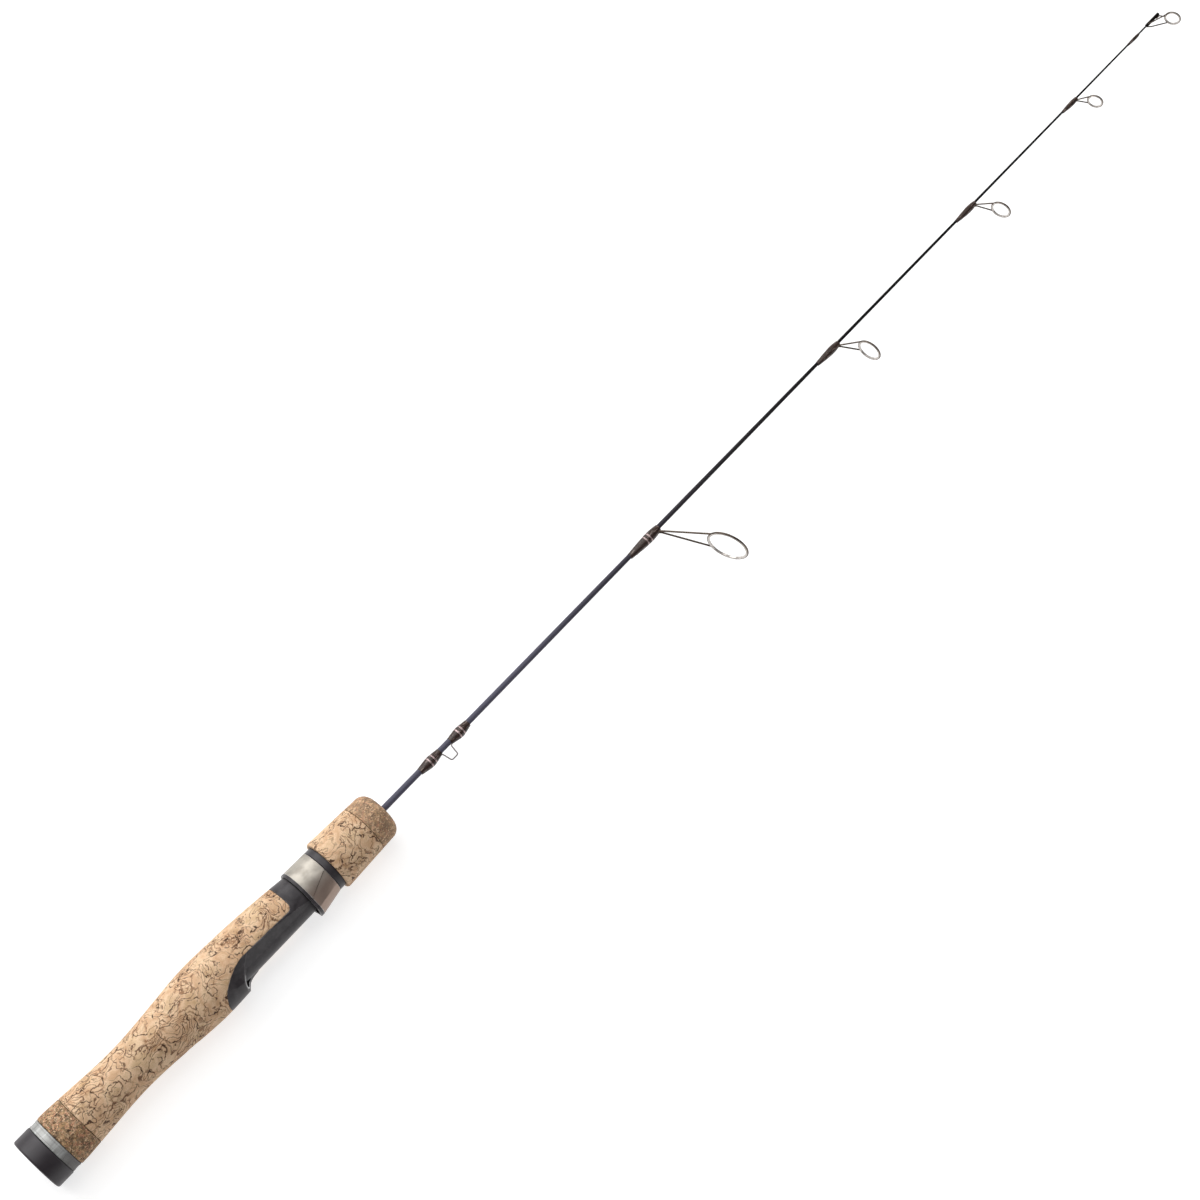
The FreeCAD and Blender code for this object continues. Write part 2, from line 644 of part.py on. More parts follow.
def hook_keeper():
    """A bent wire: two feet along the blank and a tapering loop between them."""
    foot = -(blank_radius(KEEPER_LEGS[0]) + KEEPER_WIRE_R + 0.02)
    points = [
        V(KEEPER_FEET[0], foot, 0), V(KEEPER_LEGS[0], foot, 0),
        V(KEEPER_BOTTOM[0], -KEEPER_DROP, 0), V(KEEPER_BOTTOM[1], -KEEPER_DROP, 0),
        V(KEEPER_LEGS[1], foot, 0), V(KEEPER_FEET[1], foot, 0),
    ]
    return bent_wire(points, KEEPER_WIRE_R, KEEPER_BEND)


def placed(shape, centre_x, drop, lean):
    """A ring made about the X axis, leant forward and moved to its centre."""
    shape = shape.copy()
    shape.rotate(V(0, 0, 0), V(0, 0, 1), lean)
    shape.translate(V(centre_x, -drop, 0))
    return shape


def ring_point(centre_x, drop, lean, radius, angle):
    """A point of a leaning ring, at an angle from its blank side."""
    turn = math.radians(angle)
    tilt = math.radians(lean)
    inward = radius * math.cos(turn)
    return V(centre_x - inward * math.sin(tilt), -drop + inward * math.cos(tilt),
             radius * math.sin(turn))


def hoop(radius, wire):
    return Part.makeTorus(radius - wire, wire, V(0, 0, 0), AXIS)


def ring_insert(radius, wire):
    """A hard ring in the hoop, with a straight land and rounded lips."""
    outer = radius - wire
    inner = radius - 2 * wire - INSERT_DEPTH
    half = wire + INSERT_LIP
    chamfer = 0.18
    body = turned([
        (-half, outer - wire * 0.5), (-half, inner + chamfer), (-half + chamfer, inner),
        (half - chamfer, inner), (half, inner + chamfer), (half, outer - wire * 0.5),
        (half - chamfer, outer), (-half + chamfer, outer),
    ])
    return body.cut(hoop(radius, wire + 0.01))


def guide(name, wrap_start, wrap_end, wrap_r, ring_x, drop, ring_r, lean, wire):
    """A single-foot guide's frame, its ring and its thread wrap."""
    exit_x = wrap_end - 1.2
    foot = -(blank_radius(wrap_start + 3) + wire + 0.02)
    frame = placed(hoop(ring_r, wire), ring_x, drop, lean)
    for side in (1, -1):
        z = side * wire * 0.85
        end = ring_point(ring_x, drop, lean, ring_r - wire, side * LEG_SPREAD)
        points = [V(wrap_start + 3, foot, z), V(exit_x, foot, z), end]
        frame = frame.fuse(bent_wire(points, wire, 3.0))
    ring = placed(ring_insert(ring_r, wire), ring_x, drop, lean)
    wrap = wrap_form(wrap_start, wrap_end, wrap_r).cut(blank(0.01)).cut(frame)
    return {name + "_frame": frame, name + "_ring": ring.cut(frame), name + "_wrap": wrap}


def tip_top():
    """The tip-top: a tube on the blank, a ring on two braces and a stem, and its wrap."""
    start, end = TIP_TUBE
    x, drop = TIP_RING
    wire = TIP_WIRE_R
    tube = rod(start, end, TIP_TUBE_R).cut(blank(0.02))
    frame = placed(hoop(TIP_RING_R, wire), x, drop, TIP_LEAN)
    for side in (1, -1):
        root = V(start + 0.8, -0.3, side * (TIP_TUBE_R + wire * 0.7))
        elbow = V(start + 2.6, -1.5, side * (TIP_TUBE_R + wire + 0.5))
        end_point = ring_point(x, drop, TIP_LEAN, TIP_RING_R - wire, side * TIP_BRACE_SPREAD)
        frame = frame.fuse(bent_wire([root, elbow, end_point], wire, 1.5))
    stem_end = ring_point(x, drop, TIP_LEAN, TIP_RING_R - wire, 0)
    stem = bent_wire([V(end - 3.0, -TIP_TUBE_R - wire * 0.8, 0),
                      V(end - 0.6, -TIP_TUBE_R - wire * 0.8, 0), stem_end], wire, 0.8)
    frame = frame.fuse(stem).cut(tube)
    ring = placed(ring_insert(TIP_RING_R, wire), x, drop, TIP_LEAN)
    wrap = wrap_form(*TIP_WRAP).cut(blank(0.01))
    return {"tip_tube": tube, "tip_frame": frame, "tip_ring": ring.cut(frame), "tip_wrap": wrap}


# ---- assembly -----------------------------------------------------------------------------------
def main():
    os.makedirs("parts", exist_ok=True)
    form = handle_form()
    side = cork_side()
    pieces = {
        "butt_cap": butt_cap(),
        "butt_ring": butt_ring(),
        "rear_cork_ring": rear_cork_ring(),
        "rear_grip": rear_grip(form, side),
        "reel_seat": reel_seat(form, side),
        "fixed_hood_insert": fixed_hood_insert(),
        "rear_arbor": arbor(SEAT_REAR + 3, SEAT_REAR + 28),
        "front_arbor": arbor(BARREL_END - 27, BARREL_END - 2),
        "hood_shell": hood_shell(),
        "hood_liner": hood_liner(),
        "lock_nut": lock_nut(),
        "nut_retainer": nut_retainer(),
        "foregrip_cork": foregrip_cork(),
        "foregrip_ring": foregrip_ring(),
        "foregrip_bushing": foregrip_bushing(),
        "blank": blank(),
        "hook_keeper": hook_keeper(),
    }
    for name, (start, end, radius, places) in KEEPER_WRAPS.items():
        bands = bands_on(start, end, radius, places, SPINDLE).cut(pieces["hook_keeper"])
        wrap = wrap_form(start, end, radius, outline=SPINDLE).cut(blank(0.01))
        wrap = wrap.cut(pieces["hook_keeper"])
        pieces[name + "_bands"] = bands
        pieces[name + "_wrap"] = wrap.cut(bands)
    for row in GUIDES:
        pieces.update(guide(*row))
    first = GUIDES[0]
    bands = bands_on(first[1], first[2], first[3], GUIDE_1_BANDS).cut(pieces["guide_1_frame"])
    pieces["guide_1_bands"] = bands
    pieces["guide_1_wrap"] = pieces["guide_1_wrap"].cut(bands)
    pieces.update(tip_top())
    for name, shape in pieces.items():
        save(name, shape)


main()
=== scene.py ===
import json
import math

import bpy
import bmesh
from mathutils import Matrix, Vector

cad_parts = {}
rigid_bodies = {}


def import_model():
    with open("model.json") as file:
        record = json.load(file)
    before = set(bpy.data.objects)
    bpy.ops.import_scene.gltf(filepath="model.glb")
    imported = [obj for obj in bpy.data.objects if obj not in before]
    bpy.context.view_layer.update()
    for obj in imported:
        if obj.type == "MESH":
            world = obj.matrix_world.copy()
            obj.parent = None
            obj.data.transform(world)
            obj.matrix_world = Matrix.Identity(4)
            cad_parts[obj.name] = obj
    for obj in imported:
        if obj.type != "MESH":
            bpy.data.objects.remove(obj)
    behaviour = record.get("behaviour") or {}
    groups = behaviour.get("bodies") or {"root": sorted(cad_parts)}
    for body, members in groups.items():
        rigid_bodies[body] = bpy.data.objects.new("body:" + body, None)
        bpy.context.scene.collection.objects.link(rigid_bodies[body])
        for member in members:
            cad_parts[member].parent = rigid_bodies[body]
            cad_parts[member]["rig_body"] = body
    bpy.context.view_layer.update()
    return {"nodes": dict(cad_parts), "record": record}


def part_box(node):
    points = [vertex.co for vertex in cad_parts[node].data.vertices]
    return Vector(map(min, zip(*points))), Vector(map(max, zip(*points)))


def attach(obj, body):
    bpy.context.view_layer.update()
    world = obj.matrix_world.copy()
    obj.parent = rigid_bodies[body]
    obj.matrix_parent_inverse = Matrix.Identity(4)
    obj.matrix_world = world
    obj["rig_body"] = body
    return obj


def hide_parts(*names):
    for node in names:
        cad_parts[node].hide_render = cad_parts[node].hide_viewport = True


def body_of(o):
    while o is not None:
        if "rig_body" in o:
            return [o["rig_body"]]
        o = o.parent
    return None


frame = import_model()

# An ice fishing rod lying on its side. X runs from the butt to the tip, the guides are on the -Y side
# and +Z is up. Blender's unit is the metre; material patterns are worked out in millimetres.
MM = 0.001
NODES = frame["nodes"]
MIDDLE = (0.35, 0.0, 0.0)          # about the rod's middle, which the lights are aimed at
STUDIO_SIZE = 12.0                 # metres, half the floor's side and the backdrop's radius

# The cork pieces get a fine mesh of their own, with their relief sunk into it. Millimetres.
CARVED = ("rear_cork_ring", "rear_grip", "foregrip_cork", "foregrip_ring")
CARVING_MESH = 0.28
PIT_DEPTH = 0.2
VEIN_DEPTH = 0.1
LOOP_DEPTH = 0.06
NESTED_DEPTH = 0.03
GRAIN_DEPTH = 0.05
GAP_DEPTH = 0.09                   # between the granules of the rubberised cork
GRANULE_DEPTH = 0.05               # and how unevenly they lie
GRANULES = 1.7                     # granules per millimetre


# ---- a short way to write node trees ------------------------------------------------------------
class Tree:
    """A shader or geometry node tree, with a short call for each kind of node used here."""

    def __init__(self, tree):
        self.tree = tree

    def node(self, kind, inputs=None, **settings):
        made = self.tree.nodes.new(kind)
        for name, value in settings.items():
            setattr(made, name, value)
        for socket, value in (inputs or {}).items():
            self.feed(made.inputs[socket], value)
        return made

    def feed(self, socket, value):
        if isinstance(value, bpy.types.NodeSocket):
            self.tree.links.new(value, socket)
        else:
            socket.default_value = value

    def math(self, operation, a, b=0.0):
        return self.node("ShaderNodeMath", {0: a, 1: b}, operation=operation).outputs[0]

    def vector(self, operation, a, b=(0.0, 0.0, 0.0), scale=1.0):
        made = self.node("ShaderNodeVectorMath", {0: a, 1: b}, operation=operation)
        if operation == "SCALE":
            self.feed(made.inputs["Scale"], scale)
        single = operation in ("LENGTH", "DISTANCE", "DOT_PRODUCT")
        return made.outputs["Value" if single else "Vector"]

    def split(self, vector):
        return self.node("ShaderNodeSeparateXYZ", {0: vector}).outputs

    def join(self, x, y, z):
        return self.node("ShaderNodeCombineXYZ", {0: x, 1: y, 2: z}).outputs[0]

    def noise(self, place, scale, detail=2.0, roughness=0.5, output=0):
        made = self.node("ShaderNodeTexNoise", {"Vector": place, "Scale": scale, "Detail": detail,
                                                "Roughness": roughness})
        return made.outputs[output]

    def cells(self, place, scale, feature="F1"):
        return self.node("ShaderNodeTexVoronoi", {"Vector": place, "Scale": scale},
                         feature=feature).outputs

    def remap(self, value, low, high, to_low=0.0, to_high=1.0):
        made = self.node("ShaderNodeMapRange", {"Value": value, "From Min": low, "From Max": high,
                                                "To Min": to_low, "To Max": to_high},
                         interpolation_type="SMOOTHSTEP")
        return made.outputs[0]

    def mix(self, factor, a, b):
        made = self.node("ShaderNodeMix", data_type="RGBA")
        self.feed(made.inputs["Factor"], factor)
        self.feed(made.inputs[6], a)
        self.feed(made.inputs[7], b)
        return made.outputs[2]

    def ramp(self, value, stops):
        made = self.node("ShaderNodeValToRGB", {0: value})
        elements = made.color_ramp.elements
        while len(elements) < len(stops):
            elements.new(1.0)
        for element, (place, colour) in zip(elements, stops):
            element.position = place
            element.color = colour
        return made.outputs[0]


def srgb(red, green, blue):
    """A linear colour from 0-255 display values."""
    return tuple((v / 255 / 12.92) if v / 255 <= 0.04045 else ((v / 255 + 0.055) / 1.055) ** 2.4
                 for v in (red, green, blue)) + (1.0,)


class Finish(Tree):
    """A material: its node tree, its shader, and the piece's own coordinates in millimetres."""

    def __init__(self, name, **constants):
        self.material = bpy.data.materials.new(name)
        self.material.use_nodes = True
        super().__init__(self.material.node_tree)
        self.tree.nodes.clear()
        self.shader = self.node("ShaderNodeBsdfPrincipled")
        output = self.node("ShaderNodeOutputMaterial")
        self.tree.links.new(self.shader.outputs[0], output.inputs[0])
        place = self.node("ShaderNodeTexCoord").outputs["Object"]
        self.place = self.vector("SCALE", place, scale=1 / MM)
        self.set(**constants)

    def set(self, **values):
        for name, value in values.items():
            self.feed(self.shader.inputs[name.replace("_", " ")], value)

    def bump(self, height, strength, distance):
        made = self.node("ShaderNodeBump", {"Strength": strength, "Distance": distance * MM,
                                            "Height": height})
        self.set(Normal=made.outputs[0])

    def rounded(self, radius):
        """The normal as if the edges were rounded, and a mask of those edges."""
        soft = self.node("ShaderNodeBevel", {"Radius": radius * MM}, samples=6).outputs[0]
        flat = self.node("ShaderNodeNewGeometry").outputs["Normal"]
        aligned = self.vector("DOT_PRODUCT", soft, flat)
        return soft, self.remap(aligned, 0.995, 0.9, 0.0, 1.0)

    def shadowed(self, colour, reach, strength=1.0):
        """The colour with painted shade, dark lines in its joints and inner corners where little open
        sky reaches, reach millimetres wide.
        """
        open_sky = self.node("ShaderNodeAmbientOcclusion", {"Distance": reach * MM}, samples=8)
        closed = self.remap(open_sky.outputs["AO"], 0.85, 0.4, 0.0, strength)
        return self.mix(closed, colour, srgb(10, 8, 8))


# ---- cork ---------------------------------------------------------------------------------------
def wandering_line(tree, place, scale, levels, width):
    """Thin level lines of a soft field, all of one width: their mask, and the distance to them in mm."""
    step = 0.2                     # over which the field's slope is measured
    fields = [tree.noise(place, scale, 1.0, 0.4)]
    for shift in ((step, 0.0, 0.0), (0.0, step, 0.0), (0.0, 0.0, step)):
        fields.append(tree.noise(tree.vector("ADD", place, shift), scale, 1.0, 0.4))
    rises = [tree.math("SUBTRACT", field, fields[0]) for field in fields[1:]]
    slope = tree.math("MULTIPLY", tree.vector("LENGTH", tree.join(*rises)), levels / step)
    away = tree.math("PINGPONG", tree.math("MULTIPLY", fields[0], levels), 0.5)
    away = tree.math("DIVIDE", away, tree.math("MAXIMUM", slope, 0.02))
    return tree.remap(away, 0.62 * width, 0.3 * width), away


def cork_pattern(tree, place):
    """Burl cork in a shader or geometry tree: the masks of its lines and spots, and where it is busy."""
    drift = tree.vector("SUBTRACT", tree.noise(place, 0.085, 1.5, 0.5, 1), (0.5, 0.5, 0.5))
    shiver = tree.vector("SUBTRACT", tree.noise(place, 0.75, 1.5, 0.5, 1), (0.5, 0.5, 0.5))
    bent = tree.vector("ADD", place, tree.vector("SCALE", drift, scale=13.0))
    bent = tree.vector("ADD", bent, tree.vector("SCALE", shiver, scale=1.6))
    bent = tree.vector("MULTIPLY", bent, (0.8, 1.0, 1.0))
    busy = tree.noise(tree.vector("ADD", place, (40.0, 0.0, 0.0)), 0.12, 2.0, 0.5)
    fading = tree.noise(place, 0.4, 2.0)

    # closed loops round clean islands
    loops, away = wandering_line(tree, bent, 0.15, 7.0, 0.4)
    strength = tree.math("MULTIPLY", tree.remap(busy, 0.38, 0.54, 0.5, 1.0),
                         tree.remap(fading, 0.36, 0.56, 0.35, 1.0))
    loops = tree.math("MULTIPLY", loops, strength)
    halos = tree.math("MULTIPLY", tree.remap(away, 1.0, 0.3), strength)

    # nested growth lines, in patches
    nested, _ = wandering_line(tree, tree.vector("ADD", bent, (60.0, 20.0, 0.0)), 0.07, 22.0, 0.36)
    patches = tree.remap(tree.noise(place, 0.13, 1.0), 0.45, 0.55)
    nested = tree.math("MULTIPLY", nested, patches)

    # long dark veins, broken here and there
    veins, _ = wandering_line(tree, tree.vector("ADD", bent, (0.0, 90.0, 40.0)), 0.12, 4.0, 0.46)
    veins = tree.math("MULTIPLY", veins, tree.remap(fading, 0.6, 0.44))

    # pits, gathered along the loops and in swarms
    spots = tree.cells(tree.vector("ADD", place, tree.vector("SCALE", shiver, scale=2.4)), 1.1)
    chance = tree.split(spots["Color"])[0]
    size = tree.math("ADD", tree.remap(busy, 0.48, 0.62, 0.0, 0.62), tree.math("MULTIPLY", loops, 0.5))
    size = tree.math("MULTIPLY", size, tree.remap(chance, 0.35, 0.95, 0.0, 0.6))
    pits = tree.remap(tree.math("SUBTRACT", size, spots["Distance"]), 0.0, 0.1)
    return loops, halos, nested, veins, pits, busy


def burl_cork():
    cork = Finish("burl_cork", Specular_IOR_Level=0.2)
    place = cork.place
    loops, halos, nested, veins, pits, busy = cork_pattern(cork, place)
    patch = cork.noise(place, 0.1, 2.0, 0.5)
    base = cork.ramp(patch, [(0.3, srgb(212, 182, 144)), (0.42, srgb(234, 204, 170)),
                             (0.52, srgb(212, 172, 136)), (0.6, srgb(232, 200, 165)),
                             (0.74, srgb(194, 158, 116))])
    grain = cork.noise(place, 2.4, 3.0, 0.65)
    base = cork.mix(cork.remap(grain, 0.36, 0.68, 0.0, 0.5), base, srgb(188, 148, 108))
    base = cork.mix(cork.remap(busy, 0.48, 0.66, 0.0, 0.4), base, srgb(164, 124, 86))
    base = cork.mix(cork.math("MULTIPLY", halos, 0.35), base, srgb(242, 212, 178))
    base = cork.mix(cork.math("MULTIPLY", nested, 0.7), base, srgb(126, 84, 54))
    base = cork.mix(cork.math("MULTIPLY", loops, 0.85), base, srgb(94, 58, 36))
    base = cork.mix(cork.math("MULTIPLY", veins, 0.92), base, srgb(60, 36, 24))
    base = cork.mix(cork.math("MULTIPLY", pits, 0.92), base, srgb(48, 28, 20))
    base = cork.shadowed(base, 0.6, 0.8)
    cork.set(Base_Color=base, Roughness=cork.remap(grain, 0.3, 0.7, 0.55, 0.75))
    cork.bump(cork.noise(place, 5.0, 2.0), 0.3, 0.06)
    return cork.material


def granule_place(tree, place):
    """Coordinates bent a little, so that the granules have uneven outlines."""
    shiver = tree.vector("SUBTRACT", tree.noise(place, 1.2, 2.0, 0.5, 1), (0.5, 0.5, 0.5))
    return tree.vector("ADD", place, tree.vector("SCALE", shiver, scale=1.1))


def rubber_cork():
    """Cork granules of many browns, pressed with rubber."""
    mixed = Finish("rubber_cork", Specular_IOR_Level=0.25)
    place = mixed.place
    bent = granule_place(mixed, place)
    coarse = mixed.cells(bent, 0.75)
    fine = mixed.cells(bent, GRANULES)
    pick = mixed.split(coarse["Color"])[0]
    pick_fine = mixed.split(fine["Color"])[1]
    browns = [(0.0, srgb(66, 46, 34)), (0.14, srgb(112, 86, 61)), (0.3, srgb(170, 134, 94)),
              (0.44, srgb(216, 174, 132)), (0.56, srgb(146, 122, 90)), (0.7, srgb(100, 84, 62)),
              (0.8, srgb(190, 134, 104)), (0.9, srgb(226, 194, 156)), (1.0, srgb(78, 60, 45))]
    steps = mixed.ramp(pick, browns)
    base = mixed.mix(mixed.remap(pick_fine, 0.25, 0.75), steps, mixed.ramp(pick_fine, browns))
    gaps = mixed.cells(bent, GRANULES, "DISTANCE_TO_EDGE")["Distance"]
    binder = mixed.remap(gaps, 0.1, 0.02)
    base = mixed.mix(mixed.math("MULTIPLY", binder, 0.6), base, srgb(66, 48, 38))
    flour = mixed.noise(place, 3.5, 3.0, 0.65)
    base = mixed.mix(mixed.remap(flour, 0.56, 0.72, 0.0, 0.55), base, srgb(226, 190, 152))
    # the foregrip's ring is a paler mix than the butt's
    paler = mixed.remap(mixed.split(place)[0], 60.0, 120.0, 0.0, 0.2)
    base = mixed.mix(paler, base, srgb(216, 180, 150))
    mixed.set(Base_Color=base, Roughness=mixed.remap(flour, 0.3, 0.7, 0.6, 0.8))
    mixed.bump(flour, 0.4, 0.06)
    return mixed.material


# ---- moulded plastic and rubber -----------------------------------------------------------------
def moulded(name, colour, wear_and_highlight_colour, roughness, grain=9.0, depth=0.02, edge=0.3, wear_and_highlight=0.35, shine=0.3):
    """A moulded part: fine grain in its skin, uneven gloss, and edges made a little paler, partly as
    wear and partly as a painted highlight.
    """
    skin = Finish(name, Specular_IOR_Level=shine)
    cloud = skin.noise(skin.place, 0.25, 3.0, 0.6)
    fine = skin.noise(skin.place, grain, 2.0, 0.6)
    soft, edges = skin.rounded(edge)
    base = skin.mix(skin.remap(cloud, 0.35, 0.7, 0.0, 0.5), colour, skin.mix(0.12, colour, wear_and_highlight_colour))
    # painted highlight and wear: the edges are painted paler, toward the pale colour
    worn_and_highlit_edges = skin.math("MULTIPLY", edges, skin.remap(cloud, 0.4, 0.65, 0.15 * wear_and_highlight, wear_and_highlight))
    base = skin.mix(worn_and_highlit_edges, base, wear_and_highlight_colour)
    base = skin.shadowed(base, 0.7)
    bump = skin.node("ShaderNodeBump", {"Strength": 0.25, "Distance": depth * MM, "Height": fine,
                                        "Normal": soft})
    gloss = skin.remap(skin.math("ADD", cloud, skin.math("MULTIPLY", fine, 0.2)), 0.3, 0.9,
                       roughness - 0.06, roughness + 0.08)
    skin.set(Base_Color=base, Roughness=gloss, Normal=bump.outputs[0])
    return skin.material


# ---- metals -------------------------------------------------------------------------------------
def turned_aluminium():
    """Satin aluminium with fine lathe lines, uneven in tone round the rod, with painted shade on its
    guide side and along its edges.
    """
    metal = Finish("trim_aluminium", Metallic=0.55, Anisotropic=0.3, Specular_IOR_Level=0.4)
    x, y, z = metal.split(metal.place)
    around = metal.join(metal.math("MULTIPLY", x, 9.0), metal.math("MULTIPLY", y, 0.12),
                        metal.math("MULTIPLY", z, 0.12))
    lines = metal.noise(around, 1.0, 3.0, 0.7)
    tangent = metal.node("ShaderNodeTangent", direction_type="RADIAL", axis="X").outputs[0]
    across = metal.join(metal.math("MULTIPLY", x, 0.1), y, z)
    streaks = metal.noise(across, 0.45, 3.0, 0.6)
    base = metal.mix(metal.remap(lines, 0.3, 0.7), srgb(152, 152, 150), srgb(182, 182, 179))
    base = metal.mix(metal.remap(streaks, 0.45, 0.68, 0.0, 0.55), base, srgb(104, 104, 104))
    base = metal.mix(metal.remap(streaks, 0.46, 0.3, 0.0, 0.6), base, srgb(214, 216, 215))
    # painted shade: the guide side of the ring is painted darker
    guide_side_shade = metal.remap(y, -6.5, -12.0, 0.0, 0.85)
    base = metal.mix(guide_side_shade, base, srgb(84, 80, 79))
    soft, edges = metal.rounded(0.2)
    # painted shade: dark lines along the ring's edges, where it meets its neighbours
    base = metal.mix(metal.math("MULTIPLY", edges, 0.8), base, srgb(48, 48, 50))
    base = metal.shadowed(base, 0.8)
    bump = metal.node("ShaderNodeBump", {"Strength": 0.25, "Distance": 0.01 * MM, "Height": lines,
                                         "Normal": soft})
    metal.set(Base_Color=base, Tangent=tangent, Normal=bump.outputs[0],
              Roughness=metal.remap(lines, 0.3, 0.7, 0.46, 0.6))
    return metal.material


def hood_metal():
    """Satin nickel hood, finely brushed along the rod, with painted highlights on its rim edges, and
    painted shade along its crease and on its keel side.
    """
    metal = Finish("hood_metal", Metallic=0.75, Anisotropic=0.2, Specular_IOR_Level=0.4)
    x, y, z = metal.split(metal.place)
    along = metal.join(metal.math("MULTIPLY", x, 0.25), metal.math("MULTIPLY", y, 6.0),
                       metal.math("MULTIPLY", z, 6.0))
    lines = metal.noise(along, 1.0, 3.0, 0.65)
    cloud = metal.noise(metal.place, 0.22, 2.0)
    base = metal.mix(metal.remap(cloud, 0.35, 0.65), srgb(158, 152, 143), srgb(182, 176, 166))
    # painted shade: the keel side is painted browner than the back
    keel = metal.remap(y, -2.0, -9.0)
    base = metal.mix(keel, base, srgb(166, 146, 134))
    # painted highlight on the edges of the rims, and painted shade along the crease between them
    rear, front = (corner[0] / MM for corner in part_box("hood_shell"))
    middle = metal.math("MULTIPLY", metal.remap(x, rear + 0.5, rear + 0.9),
                        metal.remap(x, front - 0.5, front - 0.9))
    soft, edges = metal.rounded(0.3)
    line = metal.mix(middle, srgb(240, 237, 232), srgb(62, 54, 49))
    base = metal.mix(metal.math("MULTIPLY", edges, 0.85), base, line)
    base = metal.shadowed(base, 0.9)
    bump = metal.node("ShaderNodeBump", {"Strength": 0.1, "Distance": 0.01 * MM, "Height": lines,
                                         "Normal": soft})
    metal.set(Base_Color=base, Normal=bump.outputs[0],
              Roughness=metal.remap(lines, 0.3, 0.7, 0.46, 0.58))
    return metal.material


def drawn_wire(name, colour, roughness):
    """Polished wire, with slight streaks and patches dulled by corrosion."""
    metal = Finish(name, Metallic=1.0)
    streaks = metal.noise(metal.place, 3.0, 3.0, 0.6)
    dull = metal.mix(0.6, colour, srgb(48, 42, 38))
    base = metal.mix(metal.remap(streaks, 0.42, 0.7, 0.0, 0.7), colour, dull)
    metal.set(Base_Color=base, Roughness=metal.remap(streaks, 0.3, 0.7, roughness, roughness + 0.14))
    metal.bump(streaks, 0.1, 0.01)
    return metal.material


def ring_ceramic():
    """Hard polished ring inserts."""
    hard = Finish("guide_ring", Specular_IOR_Level=0.7, Metallic=0.5)
    cloud = hard.noise(hard.place, 1.6, 2.0)
    base = hard.mix(hard.remap(cloud, 0.35, 0.65), srgb(176, 168, 162), srgb(216, 210, 204))
    hard.set(Base_Color=base, Roughness=hard.remap(cloud, 0.3, 0.7, 0.12, 0.22))
    return hard.material


# ---- blank and thread ---------------------------------------------------------------------------
def blank_paint():
    """Slate paint that fades to the black of the tip, under a thin clear coat."""
    paint = Finish("carbon_blank", Specular_IOR_Level=0.12)
    x, y, z = paint.split(paint.place)
    along = paint.math("DIVIDE", x, 800.0)
    base = paint.ramp(along, [(0.24, srgb(88, 87, 103)), (0.34, srgb(88, 86, 101)),
                              (0.42, srgb(66, 63, 74)), (0.5, srgb(46, 42, 46)),
                              (0.62, srgb(14, 12, 13)), (1.0, srgb(5, 5, 5))])
    around = paint.math("DIVIDE", paint.math("ARCTAN2", y, z), 2 * math.pi)
    turn = paint.math("ADD", paint.math("MULTIPLY", x, 0.9), around)
    tape = paint.math("PINGPONG", turn, 0.5)
    flake = paint.noise(paint.place, 14.0, 1.0)
    shade = paint.math("ADD", paint.math("MULTIPLY", tape, 0.25), paint.math("MULTIPLY", flake, 0.5))
    base = paint.mix(paint.remap(shade, 0.2, 0.6, 0.0, 0.3), base, srgb(24, 23, 27))
    paint.set(Base_Color=base, Roughness=paint.remap(flake, 0.3, 0.7, 0.3, 0.44))
    paint.bump(tape, 0.12, 0.02)
    return paint.material


def wound_thread(name, dark, light, metallic, roughness):
    """Thread wound round the blank, seen through a coat of clear epoxy."""
    thread = Finish(name, Specular_IOR_Level=0.2, Coat_Weight=0.4, Coat_Roughness=0.05,
                    Metallic=metallic)
    x, y, z = thread.split(thread.place)
    around = thread.math("DIVIDE", thread.math("ARCTAN2", y, z), 2 * math.pi)
    turns = thread.math("PINGPONG", thread.math("ADD", thread.math("MULTIPLY", x, 4.0), around), 0.5)
    fibre = thread.noise(thread.place, 2.2, 3.0, 0.65)
    shade = thread.math("ADD", thread.math("MULTIPLY", turns, 0.9),
                        thread.math("MULTIPLY", fibre, 0.8))
    base = thread.mix(thread.remap(shade, 0.42, 0.95), dark, light)
    # painted highlights: a few pale streaks along the rod, as glints on the epoxy
    along = thread.vector("MULTIPLY", thread.place, (0.22, 1.5, 1.5))
    streaks = thread.noise(along, 1.0, 2.0, 0.5)
    base = thread.mix(thread.remap(streaks, 0.58, 0.7, 0.0, 0.5), base, srgb(168, 150, 142))
    thread.set(Base_Color=base, Roughness=thread.remap(fibre, 0.3, 0.7, roughness, roughness + 0.15))
    thread.bump(turns, 0.5, 0.05)
    return thread.material


